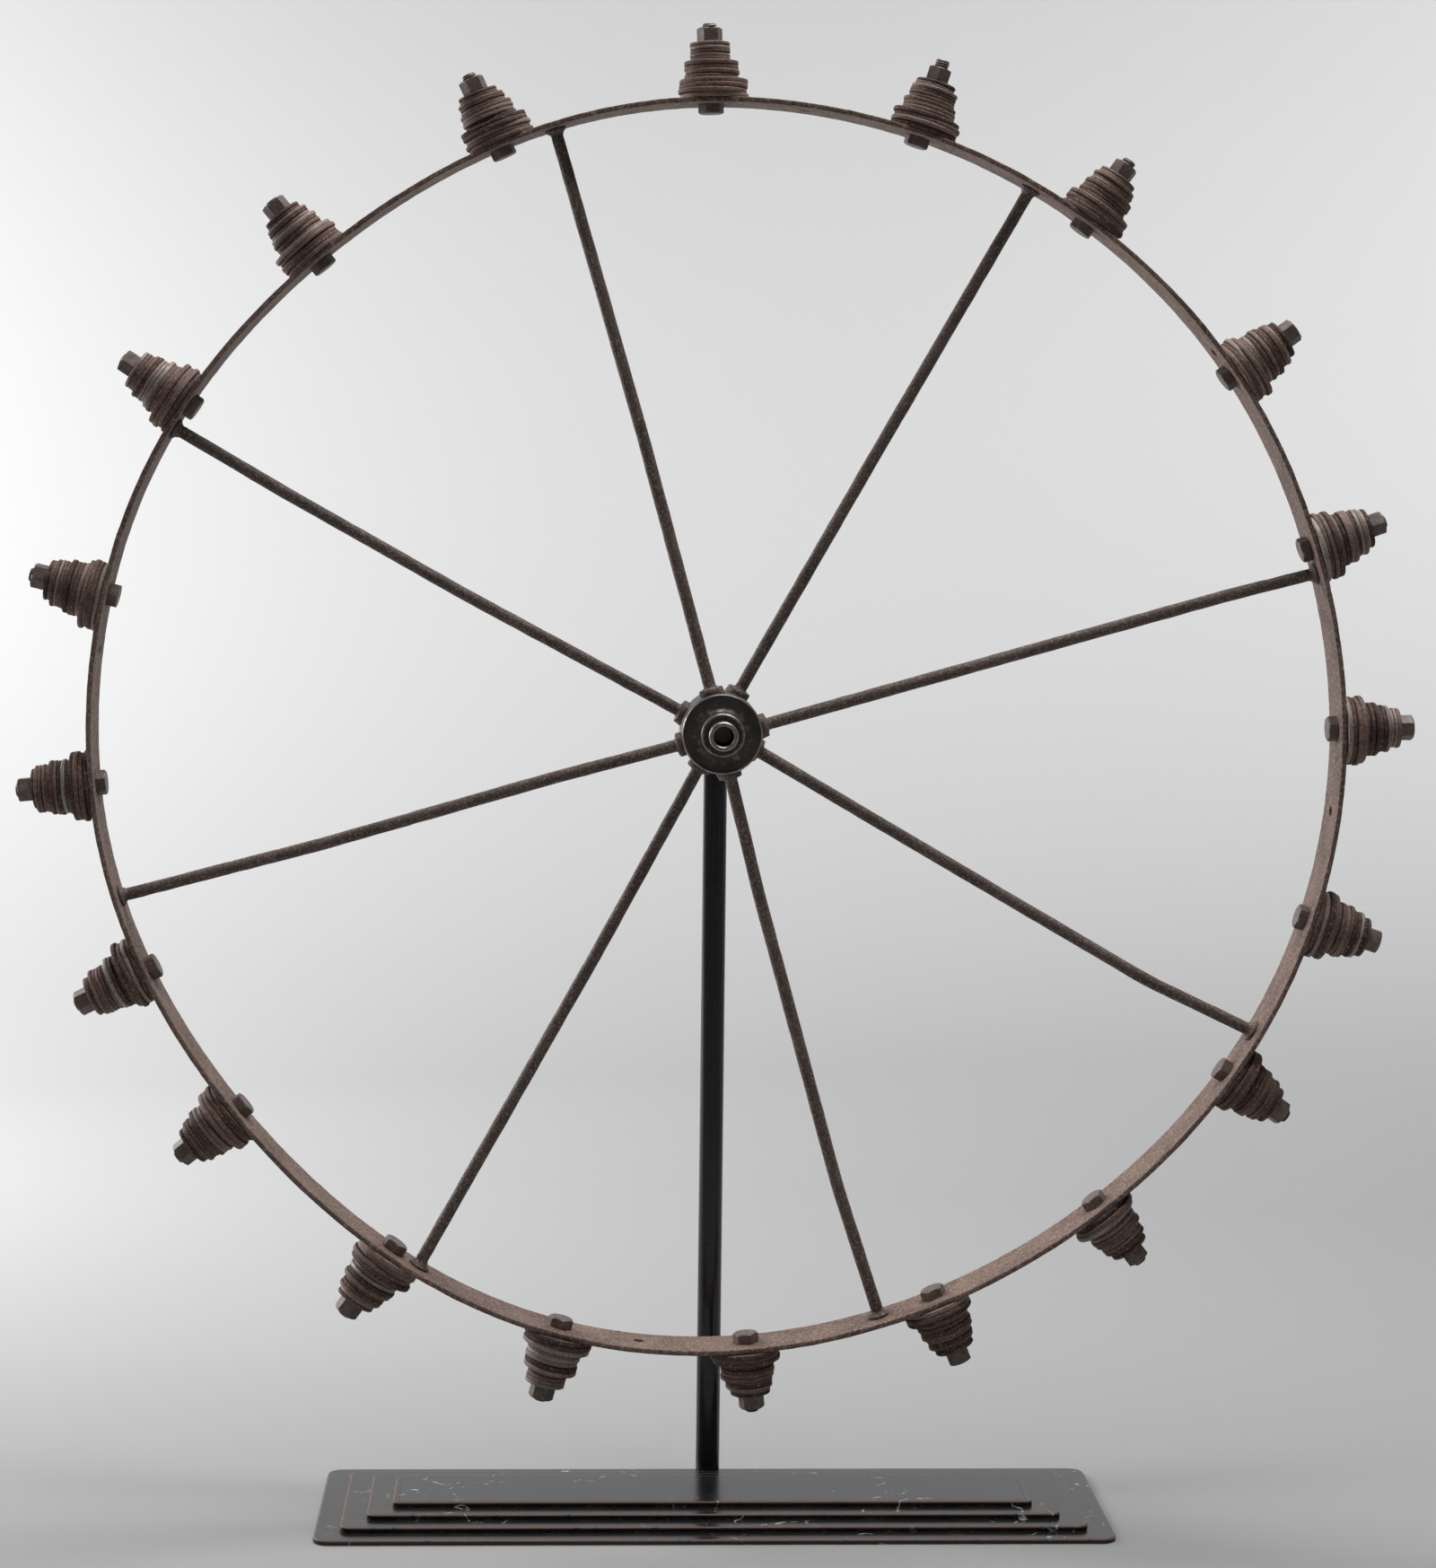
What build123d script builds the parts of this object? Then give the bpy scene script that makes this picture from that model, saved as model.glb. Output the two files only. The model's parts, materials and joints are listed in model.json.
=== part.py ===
from build123d import *

import os
from math import atan, cos, degrees, hypot, pi, radians, sin, tan

# A spoked iron wheel with a ring of bolted washer stacks on its rim, free to turn on a
# steel display stand: four stepped plates, a round post and a peg.
# Millimetres. +Z is up, the wheel's axle lies along Y, and the front faces -Y.
# The origin is the centre of the stand's underside.

# --- stand ---
PLATE_THICK = 3.175
PLATE_LENGTH = 508.0  # the lowest plate, along X
PLATE_DEPTH = 152.4  # the lowest plate, along Y
LEDGE = 15.875  # how far each plate stands back from the one below, all round
PLATE_CORNERS = (9.5, 7.0, 5.5, 4.0)  # corner radii, lowest plate first
PLATE_EDGE = 0.5  # rounding of the plates' upper edges
POST_DIAMETER = 15.875
POST_ABOVE_AXLE = 12.7
POST_TOP_ROUNDING = 2.0
AXLE_HEIGHT = 507.0
PEG_DIAMETER = 12.7
PEG_FRONT = -25.0  # the peg's front end, inside the bushing, along Y
PEG_EDGE = 0.8
PEG_SADDLE = 4.0  # how far the peg's rear end reaches round the post
RUNNING_GAP = 0.05  # radial

# --- wheel ---
RIM_RADIUS = 406.4
RIM_WIDTH = 38.1
RIM_THICK = 3.175
# The old rim sits a little high on its axle and is bent flatter in four places.
RIM_LIFT = 2.5
RIM_FLATS = (  # angle of the middle, depth there, degrees it reaches to each side
    (75.0, 1.5, 20.0),
    (150.0, 6.0, 45.0),
    (229.0, 7.0, 35.0),
    (321.0, 6.5, 35.0),
)
RIM_POINTS = 36
HUB_RADIUS = 26.0
HUB_LENGTH = 50.0
HUB_NOSE_RADIUS = 14.2
HUB_NOSE_LENGTH = 9.0
HUB_NOSE_FILLET = 4.5
HUB_EDGE = 0.8
HUB_NOSE_EDGE = 1.2
BUSHING_OUTER = 19.05
BUSHING_LENGTH = 89.0
BUSHING_EDGE = 0.6
SPOKE_DIAMETER = 8.0
SPOKE_ROW = 12.0  # the front and rear rows enter the hub this far from its middle
SPOKE_INNER_END = 18.0  # radius at which a spoke ends inside the hub
SPOKE_BEND_RADIUS = 250.0
COLLAR_DIAMETER = 16.0
COLLAR_THICK = 3.8
COLLAR_EDGE = 0.9
COLLAR_ROOT = 2.0  # how deep a collar starts under the hub's surface, before it is cut to fit
FOOT_DIAMETER = 14.0
FOOT_THICK = 1.8
FOOT_FLARE = 3.0
FOOT_NECK_DIAMETER = 8.8
TENON_DIAMETER = 6.35
RIVET_DIAMETER = 9.2
RIVET_THICK = 1.2
HOLE_GAP = 0.15  # radial room round a spoke's tenon and round its hub end
SEAT_GAP = 0.12  # flat faces stand this far off the curved rim

FRONT, REAR = -1, 1
# Angles run clockwise from the top, seen from the front. Each spoke lies along the radius
# at its foot, apart from the sideways offsets given at some radii.
SPOKES = (  # name, row, foot's angle, (radius, offset) from the hub out, rivet stands proud
    ("spoke_345", FRONT, 344.0, ((SPOKE_INNER_END, 0.5), (198.0, 1.9)), True),
    ("spoke_030", REAR, 29.1, ((SPOKE_INNER_END, -1.9), (200.0, -1.5)), True),
    ("spoke_075", FRONT, 74.6, ((SPOKE_INNER_END, 2.1), (340.0, -1.0)), False),
    ("spoke_120", REAR, 118.9, ((SPOKE_INNER_END, -0.8), (110.0, 1.2), (324.0, 4.9)), True),
    ("spoke_165", FRONT, 164.2, ((SPOKE_INNER_END, 1.6), (110.0, 3.9), (305.0, 4.1)), True),
    ("spoke_210", REAR, 208.9, ((SPOKE_INNER_END, 0.0), (165.0, -1.3)), False),
    ("spoke_255", FRONT, 254.2, ((SPOKE_INNER_END, -0.2), (112.0, 0.6), (269.0, -1.6)), True),
    ("spoke_300", REAR, 298.6, ((SPOKE_INNER_END, -1.4), (190.0, -3.2), (322.0, -2.0)), False),
)

# --- washer stacks ---
BOLT_DIAMETER = 9.5
BOLT_HOLE = 10.5
HEX_ACROSS_FLATS = 14.3
HEX_CHAMFER_ANGLE = 30.0
HEAD_THICK = 6.0
NUT_THICK = 9.3
BOLT_END_CHAMFER = 1.4
WASHERS = (  # outer diameter, hole, thickness, from the rim outwards
    (44.4, 17.5, 2.9),
    (35.0, 14.3, 2.7),
    (30.7, 12.7, 2.2),
    (26.0, 11.1, 2.2),
)
WASHER_GAP = 0.1  # rust and dirt keep the washers this far apart
# How thick a lug's washers are, against the thicknesses above, is its third value.
LUGS = (  # angle, washers of each size, their thickness, drift, lean, bolt end, turn of the nut
    (358.4, (4, 4, 0, 5), 1.05, 0.7, 0.0, 2.8, 5.0),
    (17.7, (4, 3, 4, 2), 1.0, 0.7, 0.0, 5.6, 25.0),
    (35.0, (4, 4, 3, 2), 1.0, 0.6, 0.0, 3.5, 10.0),
    (54.5, (4, 5, 3, 2), 1.05, 0.7, -1.0, 0.7, 0.0),
    (72.1, (4, 4, 3, 2), 1.1, 0.9, -2.5, 1.8, 30.0),
    (89.2, (4, 3, 3, 3), 1.1, 0.6, 0.0, 0.3, 5.0),
    (107.2, (4, 4, 3, 2), 1.1, 0.3, 0.0, 0.3, 30.0),
    (123.5, (3, 4, 3, 2), 1.1, -0.1, 0.0, 2.8, 15.0),
    (140.9, (3, 4, 3, 2), 1.05, 0.4, 0.0, 2.4, 30.0),
    (158.6, (3, 4, 3, 2), 1.05, 0.4, 0.0, 0.8, 30.0),
    (176.9, (3, 4, 3, 2), 0.95, 0.6, -1.0, 2.2, 5.0),
    (194.5, (3, 5, 0, 4), 1.1, -0.3, 0.0, 1.5, 10.0),
    (211.8, (4, 4, 3, 2), 1.1, -0.4, 2.0, 1.5, 10.0),
    (231.4, (4, 4, 3, 2), 1.05, 0.4, 0.0, 2.0, 15.0),
    (246.9, (4, 3, 5, 2), 1.05, 0.8, -1.0, 1.4, 10.0),
    (264.8, (4, 5, 4, 1), 1.0, -0.3, 0.0, 1.5, 30.0),
    (282.2, (4, 4, 4, 2), 1.0, -0.9, 2.0, 2.0, 20.0),
    (301.1, (4, 3, 4, 3), 1.05, -0.4, 1.0, 1.0, 30.0),
    (319.0, (5, 4, 3, 2), 0.95, 0.0, 1.0, 1.0, 5.0),
    (338.7, (5, 4, 3, 2), 0.95, 0.7, -1.0, 3.2, 8.0),
)
EMPTY_HOLES = (7.0, 52.0, 97.0, 187.0, 277.0)  # old rim holes with nothing in them
EMPTY_HOLE_DIAMETER = 7.1

WHEEL_CENTRE = Vector(0, 0, AXLE_HEIGHT)
WHEEL_PLANE = Plane(origin=WHEEL_CENTRE, x_dir=(1, 0, 0), z_dir=(0, -1, 0))
STACK_TOP = 4 * PLATE_THICK
POST_Y = PLATE_DEPTH / 2 - LEDGE + POST_DIAMETER / 2


def flats_near(angle):
    """Each flat that reaches an angle: its depth, its reach, and where in it the angle is."""
    for middle, depth, reach in RIM_FLATS:
        along = (angle - middle + 180) % 360 - 180
        if abs(along) < reach:
            yield depth, reach, pi * along / reach


def rim_radius(angle):
    """Outer radius of the rim, from the axle, at an angle clockwise from the top."""
    bent = sum(depth * (1 + cos(phase)) / 2 for depth, _, phase in flats_near(angle))
    return RIM_RADIUS + RIM_LIFT * cos(radians(angle)) - bent


def rim_slope(angle):
    """How far the rim's outward direction turns from the radius, in degrees."""
    climb = -RIM_LIFT * sin(radians(angle))
    climb += sum(depth * sin(phase) * 90 / reach for depth, reach, phase in flats_near(angle))
    return -degrees(atan(climb / rim_radius(angle)))


def outward(angle):
    return Vector(sin(radians(angle)), 0, cos(radians(angle)))


def sideways(angle):
    return Vector(cos(radians(angle)), 0, -sin(radians(angle)))


def rim_plane(angle, height=0.0, lean=0.0):
    """A plane at the rim's outer face, moved out by height along its own normal."""
    facing = angle + rim_slope(angle) + lean
    origin = WHEEL_CENTRE + outward(angle) * rim_radius(angle) + outward(facing) * height
    return Plane(origin=origin, x_dir=sideways(facing), z_dir=outward(facing))


def spoke_route(row, angle, offsets):
    """Points along a spoke's centre line, from inside the hub to the foot on the rim."""
    end = rim_radius(angle) - RIM_THICK - SEAT_GAP - FOOT_THICK
    points = []
    for radius, offset in (*offsets, (end, 0.0)):
        depth = row * SPOKE_ROW * (end - radius) / (end - SPOKE_INNER_END)
        place = outward(angle) * radius + sideways(angle) * offset
        points.append(WHEEL_CENTRE + place + Vector(0, depth, 0))
    return points


def stack_height(counts, thickness):
    return sum(n * (size[2] * thickness + WASHER_GAP) for n, size in zip(counts, WASHERS))


def washer_places(number, counts, thickness, drift):
    """Each washer's size and its place in the stack: side, front-to-back and height."""
    height = SEAT_GAP
    count = 0
    for n, (outer, hole, nominal) in zip(counts, WASHERS):
        slack = (hole - BOLT_DIAMETER) / 2 - HOLE_GAP
        thick = nominal * thickness
        for _ in range(n):
            side = 0.75 * drift + 0.2 * sin(2.4 * count + 1.7 * number)
            depth = 0.3 * cos(1.9 * count + 0.8 * number)
            shrink = slack / max(1.0, hypot(side, depth))
            yield (outer, hole, thick), (side * shrink, depth * shrink, height)
            height += thick + WASHER_GAP
            count += 1


def save(piece, name):
    piece.part.label = name
    export_step(piece.part, f"parts/{name}.step")


os.makedirs("parts", exist_ok=True)

# --- the stand's four stepped plates, lowest first ---
for step, corner in enumerate(PLATE_CORNERS):
    inset = 2 * LEDGE * step
    with BuildPart() as base_plate:
        with BuildSketch(Plane.XY.offset(step * PLATE_THICK)):
            RectangleRounded(PLATE_LENGTH - inset, PLATE_DEPTH - inset, corner)
        extrude(amount=PLATE_THICK)
        fillet(base_plate.faces().sort_by(Axis.Z)[-1].edges(), PLATE_EDGE)
    save(base_plate, f"base_plate_{step + 1}")

# --- post: a round bar standing on the lowest plate's rear ledge ---
with BuildPart() as post:
    with BuildSketch(Plane.XY.offset(PLATE_THICK)):
        with Locations((0, POST_Y)):
            Circle(POST_DIAMETER / 2)
    extrude(amount=AXLE_HEIGHT + POST_ABOVE_AXLE - PLATE_THICK)
    fillet(post.edges().sort_by(Axis.Z)[-1], POST_TOP_ROUNDING)
save(post, "post")

# --- axle peg, its rear end cut to a saddle round the post ---
peg_rear = POST_Y - POST_DIAMETER / 2 + PEG_SADDLE
with BuildPart() as axle_peg:
    with BuildSketch(WHEEL_PLANE.offset(-peg_rear)):
        Circle(PEG_DIAMETER / 2)
    extrude(amount=peg_rear - PEG_FRONT)
    chamfer(axle_peg.edges().group_by(Axis.Y)[0], PEG_EDGE)
    with BuildSketch(Plane.XY.offset(AXLE_HEIGHT - PEG_DIAMETER)):
        with Locations((0, POST_Y)):
            Circle(POST_DIAMETER / 2)
    extrude(amount=2 * PEG_DIAMETER, mode=Mode.SUBTRACT)
save(axle_peg, "axle_peg")

# --- hub: a cast barrel with a nose at each end, drilled for the bushing and the spokes ---
hub_end = HUB_LENGTH / 2 + HUB_NOSE_LENGTH
with BuildPart() as hub:
    with BuildSketch(WHEEL_PLANE.offset(-HUB_LENGTH / 2)):
        Circle(HUB_RADIUS)
    extrude(amount=HUB_LENGTH)
    fillet(hub.edges().filter_by(GeomType.CIRCLE), HUB_EDGE)
    with BuildSketch(WHEEL_PLANE.offset(-hub_end)):
        Circle(HUB_NOSE_RADIUS)
    extrude(amount=2 * hub_end)
    roots = hub.edges().filter_by(
        lambda e: e.geom_type == GeomType.CIRCLE
        and abs(e.radius - HUB_NOSE_RADIUS) < 0.01
        and abs(abs(e.center().Y) - HUB_LENGTH / 2) < 0.01
    )
    fillet(roots, HUB_NOSE_FILLET)
    noses = hub.edges().filter_by(
        lambda e: e.geom_type == GeomType.CIRCLE
        and abs(e.radius - HUB_NOSE_RADIUS) < 0.01
        and abs(abs(e.center().Y) - hub_end) < 0.01
    )
    chamfer(noses, HUB_NOSE_EDGE)
    with BuildSketch(WHEEL_PLANE.offset(-hub_end)):
        Circle(BUSHING_OUTER / 2 + RUNNING_GAP)
    extrude(amount=2 * hub_end, mode=Mode.SUBTRACT)
    for _, row, angle, offsets, _ in SPOKES:
        start, after = spoke_route(row, angle, offsets)[:2]
        with BuildSketch(Plane(origin=start, z_dir=after - start)):
            Circle(SPOKE_DIAMETER / 2 + HOLE_GAP)
        extrude(amount=HUB_RADIUS, mode=Mode.SUBTRACT)
save(hub, "hub")

# --- bushing: a tube held in the hub, standing proud at both ends ---
with BuildPart() as hub_bushing:
    with BuildSketch(WHEEL_PLANE):
        Circle(BUSHING_OUTER / 2)
        Circle(PEG_DIAMETER / 2 + RUNNING_GAP, mode=Mode.SUBTRACT)
    extrude(amount=BUSHING_LENGTH / 2, both=True)
    chamfer(hub_bushing.edges().filter_by(GeomType.CIRCLE), BUSHING_EDGE)
save(hub_bushing, "hub_bushing")


# --- rim: a flat iron band, bent out of round, drilled for stacks, spokes and old cleats ---
def rim_outline(inset):
    """Points round the rim in the wheel's plane, inset from its outer face."""
    for n in range(RIM_POINTS):
        angle = 360 / RIM_POINTS * n
        place = outward(angle) * (rim_radius(angle) - inset)
        yield (place.X, place.Z)


with BuildPart() as rim:
    with BuildSketch(WHEEL_PLANE):
        with BuildLine():
            Spline(*rim_outline(0), periodic=True)
        make_face()
        with BuildLine():
            Spline(*rim_outline(RIM_THICK), periodic=True)
        make_face(mode=Mode.SUBTRACT)
    extrude(amount=RIM_WIDTH / 2, both=True)
    holes = [(angle, lean, BOLT_HOLE) for angle, _, _, _, lean, _, _ in LUGS]
    holes += [(angle, 0, TENON_DIAMETER + 2 * HOLE_GAP) for _, _, angle, _, _ in SPOKES]
    holes += [(angle, 0, EMPTY_HOLE_DIAMETER) for angle in EMPTY_HOLES]
    for angle, lean, diameter in holes:
        with BuildSketch(rim_plane(angle, 0, lean)):
            Circle(diameter / 2)
        extrude(amount=3 * RIM_THICK, both=True, mode=Mode.SUBTRACT)
save(rim, "rim")

# --- spokes: bent rods with a collar on the hub, a flared foot and a riveted tenon ---
for name, row, angle, offsets, proud in SPOKES:
    route = spoke_route(row, angle, offsets)
    collar_plane = Plane(origin=route[0], z_dir=route[1] - route[0])
    collar_foot = HUB_RADIUS - SPOKE_INNER_END
    foot_plane = rim_plane(angle, -RIM_THICK - SEAT_GAP)
    with BuildPart() as spoke:
        with BuildSketch(collar_plane.offset(collar_foot - COLLAR_ROOT)):
            Circle(COLLAR_DIAMETER / 2)
        extrude(amount=COLLAR_THICK + COLLAR_ROOT)
        fillet(spoke.edges().filter_by(GeomType.CIRCLE), COLLAR_EDGE)
        with BuildSketch(WHEEL_PLANE.offset(-HUB_LENGTH)):
            Circle(HUB_RADIUS + SEAT_GAP)
        extrude(amount=2 * HUB_LENGTH, mode=Mode.SUBTRACT)
        with BuildLine() as centre_line:
            FilletPolyline(*route, radius=SPOKE_BEND_RADIUS)
        with BuildSketch(Plane(origin=centre_line.line @ 0, z_dir=centre_line.line % 0)):
            Circle(SPOKE_DIAMETER / 2)
        sweep(path=centre_line.line)
        with Locations(foot_plane.offset(-FOOT_THICK / 2).location):
            Cylinder(FOOT_DIAMETER / 2, FOOT_THICK)
        with Locations(foot_plane.offset(-FOOT_THICK - FOOT_FLARE / 2).location):
            Cone(FOOT_NECK_DIAMETER / 2, FOOT_DIAMETER / 2, FOOT_FLARE)
        with BuildSketch(foot_plane.offset(-FOOT_THICK)):
            Circle(TENON_DIAMETER / 2)
        extrude(amount=FOOT_THICK + SEAT_GAP + RIM_THICK)
        if proud:
            with BuildSketch(rim_plane(angle, 0)):
                Circle(TENON_DIAMETER / 2)
            extrude(amount=SEAT_GAP)
            with Locations(rim_plane(angle, SEAT_GAP + RIVET_THICK / 2).location):
                Cone(RIVET_DIAMETER / 2, RIVET_DIAMETER / 3, RIVET_THICK)
    save(spoke, name)

# --- washer stacks, one node for each lug ---
for number, (angle, counts, thickness, drift, lean, _, _) in enumerate(LUGS, start=1):
    with BuildPart() as washer_stack:
        places = washer_places(number, counts, thickness, drift)
        for (outer, hole, thick), (side, depth, height) in places:
            seat = rim_plane(angle, height)
            centre = seat.origin + seat.x_dir * (side + height * tan(radians(lean)))
            centre += Vector(0, depth, 0)
            with BuildSketch(Plane(origin=centre, x_dir=seat.x_dir, z_dir=seat.z_dir)):
                Circle(outer / 2)
                Circle(hole / 2, mode=Mode.SUBTRACT)
            extrude(amount=thick)
    save(washer_stack, f"washer_stack_{number:02d}")


# --- hexagon bolts, heads inside the rim, and their nuts outside the stacks ---
HEX_RADIUS = HEX_ACROSS_FLATS / 2
HEX_FACE = HEX_RADIUS - 0.3  # radius of the round face inside the corner chamfers
HEX_REACH = HEX_RADIUS / cos(radians(30)) + 0.5
HEX_DROP = (HEX_REACH - HEX_FACE) * tan(radians(HEX_CHAMFER_ANGLE))


def tilt_room(lean):
    """How far a leaning hexagon stands off the face under it."""
    return SEAT_GAP + HEX_REACH * sin(radians(abs(lean)))


def side_plane(plane):
    """The plane through a fastener's axis, X across it and Y along it."""
    return Plane(origin=plane.origin, x_dir=plane.x_dir, z_dir=-plane.y_dir)


with BuildPart() as lug_bolts:
    for angle, counts, thickness, _, lean, end, turn in LUGS:
        head = rim_plane(angle, -RIM_THICK - tilt_room(lean), lean)
        with BuildSketch(head.offset(-HEAD_THICK)):
            RegularPolygon(HEX_RADIUS, 6, major_radius=False, rotation=1.7 * turn)
        extrude(amount=HEAD_THICK)
        with BuildSketch(side_plane(head)):
            with BuildLine():
                low = -HEAD_THICK
                Polyline((HEX_FACE, low), (HEX_REACH, low + HEX_DROP), (HEX_REACH, low), close=True)
            make_face()
        revolve(axis=Axis(head.origin, head.z_dir), mode=Mode.SUBTRACT)
        grip = RIM_THICK + 2 * tilt_room(lean) + SEAT_GAP + stack_height(counts, thickness)
        with BuildSketch(head):
            Circle(BOLT_DIAMETER / 2)
        extrude(amount=grip + NUT_THICK + end)
    tips = lug_bolts.edges().filter_by(
        lambda e: e.geom_type == GeomType.CIRCLE
        and abs(e.radius - BOLT_DIAMETER / 2) < 0.01
        and (e.center() - WHEEL_CENTRE).length > RIM_RADIUS + 20
    )
    chamfer(tips, BOLT_END_CHAMFER)
save(lug_bolts, "lug_bolts")

with BuildPart() as lug_nuts:
    for angle, counts, thickness, _, lean, _, turn in LUGS:
        height = SEAT_GAP + stack_height(counts, thickness) + tilt_room(lean)
        nut = rim_plane(angle, height, lean)
        with BuildSketch(nut):
            RegularPolygon(HEX_RADIUS, 6, major_radius=False, rotation=turn)
            Circle(BOLT_DIAMETER / 2 + RUNNING_GAP, mode=Mode.SUBTRACT)
        extrude(amount=NUT_THICK)
        with BuildSketch(side_plane(nut)):
            with BuildLine():
                top = NUT_THICK
                Polyline((HEX_FACE, top), (HEX_REACH, top - HEX_DROP), (HEX_REACH, top), close=True)
            make_face()
        revolve(axis=Axis(nut.origin, nut.z_dir), mode=Mode.SUBTRACT)
save(lug_nuts, "lug_nuts")
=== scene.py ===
import json
from math import atan2, cos, pi, radians, sin, tan

import bmesh
import bpy
import numpy as np
from mathutils import Matrix, Vector


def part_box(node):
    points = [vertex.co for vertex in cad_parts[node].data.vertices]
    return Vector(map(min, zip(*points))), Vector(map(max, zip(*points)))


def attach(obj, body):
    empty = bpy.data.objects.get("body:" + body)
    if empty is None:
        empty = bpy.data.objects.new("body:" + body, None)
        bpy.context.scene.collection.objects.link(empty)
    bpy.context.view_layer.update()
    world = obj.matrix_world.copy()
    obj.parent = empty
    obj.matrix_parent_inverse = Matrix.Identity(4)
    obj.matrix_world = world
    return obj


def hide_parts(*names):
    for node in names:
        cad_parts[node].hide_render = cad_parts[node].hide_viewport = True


# The looks of a spoked iron wheel with stacks of rusty washers on its rim, on a black stand.
# Metres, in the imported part's own frame. Angles run clockwise from the top, seen from -Y.

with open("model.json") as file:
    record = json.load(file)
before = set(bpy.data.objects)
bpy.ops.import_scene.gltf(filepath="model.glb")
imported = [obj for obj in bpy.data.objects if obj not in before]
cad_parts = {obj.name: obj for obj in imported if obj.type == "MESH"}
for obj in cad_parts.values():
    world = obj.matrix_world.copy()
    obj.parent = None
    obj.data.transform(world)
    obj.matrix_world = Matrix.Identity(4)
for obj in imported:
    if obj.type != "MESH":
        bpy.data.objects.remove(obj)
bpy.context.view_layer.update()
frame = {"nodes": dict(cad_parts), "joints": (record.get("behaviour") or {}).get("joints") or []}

MM = 0.001
WHEEL = "wheel"
STAND = "stand"
AXIS = np.array([0.0, 1.0, 0.0])
CENTRE = np.array(next(j for j in frame["joints"] if j["name"] == "wheel_spin")["pos_m"])


# --- camera: a long lens low in front, a little to the left ---
CAMERA_PLACE = (-0.1023, -2.159, 0.6683)
CAMERA_YAW = radians(2.53)
CAMERA_PITCH = radians(-1.32)
CAMERA_ROLL = radians(0.66)
LENS_MM = 76.6
SENSOR_MM = 36.0
CAMERA_SHIFT = (0.0038, -0.143)


def make_camera():
    data = bpy.data.cameras.new("camera")
    data.sensor_width = SENSOR_MM
    data.lens = LENS_MM
    data.shift_x, data.shift_y = CAMERA_SHIFT
    data.clip_end = 50.0
    camera = bpy.data.objects.new("camera", data)
    level = cos(CAMERA_PITCH)
    ahead = Vector((sin(CAMERA_YAW) * level, cos(CAMERA_YAW) * level, sin(CAMERA_PITCH)))
    right = Vector((cos(CAMERA_YAW), -sin(CAMERA_YAW), 0))
    up = right.cross(ahead)
    rolled_right = cos(CAMERA_ROLL) * right + sin(CAMERA_ROLL) * up
    rolled_up = cos(CAMERA_ROLL) * up - sin(CAMERA_ROLL) * right
    turn = Matrix((rolled_right, rolled_up, -ahead)).transposed()
    camera.matrix_world = Matrix.Translation(CAMERA_PLACE) @ turn.to_4x4()
    bpy.context.scene.collection.objects.link(camera)
    bpy.context.scene.camera = camera


# --- studio: a round pale sweep, lit from overhead, from behind and a little from the left ---
FLOOR_RADIUS = 1.7
SWEEP_RADIUS = 4.2
WALL_TOP = 7.0
STUDIO_GREY = (0.35, 0.35, 0.352, 1)


def area_light(name, place, target, size, power):
    data = bpy.data.lights.new(name, "AREA")
    data.shape = "RECTANGLE"
    data.size, data.size_y = size
    data.energy = power
    light = bpy.data.objects.new(name, data)
    light.location = place
    light.rotation_euler = (Vector(target) - Vector(place)).to_track_quat("-Z", "Y").to_euler()
    bpy.context.scene.collection.objects.link(light)


def make_sweep():
    bends = np.linspace(0, pi / 2, 19)
    radii = [0.001, 0.8, FLOOR_RADIUS, *(FLOOR_RADIUS + SWEEP_RADIUS * np.sin(bends[1:]))]
    heights = [0, 0, 0, *(SWEEP_RADIUS * (1 - np.cos(bends[1:]))), WALL_TOP]
    up = np.array([0, 0, 1.0])
    rings = lathe([*radii, radii[-1]], heights, 96, np.zeros(3), up)
    sweep = mesh_object("studio_sweep", [(rings, False, 0.0)])
    bm = bmesh.new()
    bm.from_mesh(sweep.data)
    caps = [f for f in bm.faces if len(f.verts) > 4 and f.calc_center_median().z > WALL_TOP / 2]
    bmesh.ops.delete(bm, geom=caps, context="FACES")
    bmesh.ops.reverse_faces(bm, faces=bm.faces[:])
    bm.to_mesh(sweep.data)
    bm.free()
    paper = bpy.data.materials.new("studio_paper")
    paper.use_nodes = True
    shader = paper.node_tree.nodes["Principled BSDF"]
    shader.inputs["Base Color"].default_value = STUDIO_GREY
    shader.inputs["Roughness"].default_value = 0.9
    sweep.data.materials.append(paper)


def make_studio():
    make_sweep()
    area_light("overhead", (0.45, 0.1, 3.0), (0.05, 0.05, 0.4), (2.0, 2.0), 88)
    area_light("behind_left", (-2.2, 2.2, 2.4), (-2.8, 5.6, 1.0), (1.8, 1.8), 195)
    area_light("behind_right", (1.9, 2.2, 3.0), (2.6, 5.6, 1.2), (1.8, 1.8), 138)
    area_light("left_wash", (-1.6, 0.9, 1.0), (-0.8, 1.7, 0.0), (0.9, 0.9), 50)
    area_light("left_fill", (-2.2, -0.5, 1.5), (-0.3, 0.0, 0.5), (1.0, 1.0), 4)
    world = bpy.data.worlds.new("soft_sky")
    world.use_nodes = True
    world.node_tree.nodes["Background"].inputs["Color"].default_value = (0.95, 0.97, 1.0, 1)
    world.node_tree.nodes["Background"].inputs["Strength"].default_value = 0.06
    bpy.context.scene.world = world
    bpy.context.scene.view_settings.view_transform = "Standard"


# --- shapes: surfaces through rings of points, with small random lumps ---
SHARP_DEGREES = 38  # edges bent more than this stay sharp
LUMP_TABLE = np.random.default_rng(7).uniform(-1, 1, 4096)


def lumps(points, size, seed=0):
    """Smooth random numbers from -1 to 1 at each point, about one lump for every size."""
    scaled = np.asarray(points) / size + seed * 17.31
    cell = np.floor(scaled).astype(np.int64)
    part = scaled - cell
    part = part * part * (3 - 2 * part)
    total = 0
    for corner in np.ndindex(2, 2, 2):
        at = cell + corner
        key = (at[..., 0] * 73856093 ^ at[..., 1] * 19349663 ^ at[..., 2] * 83492791) & 4095
        total = total + LUMP_TABLE[key] * np.prod(np.where(corner, part, 1 - part), axis=-1)
    return total


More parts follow.
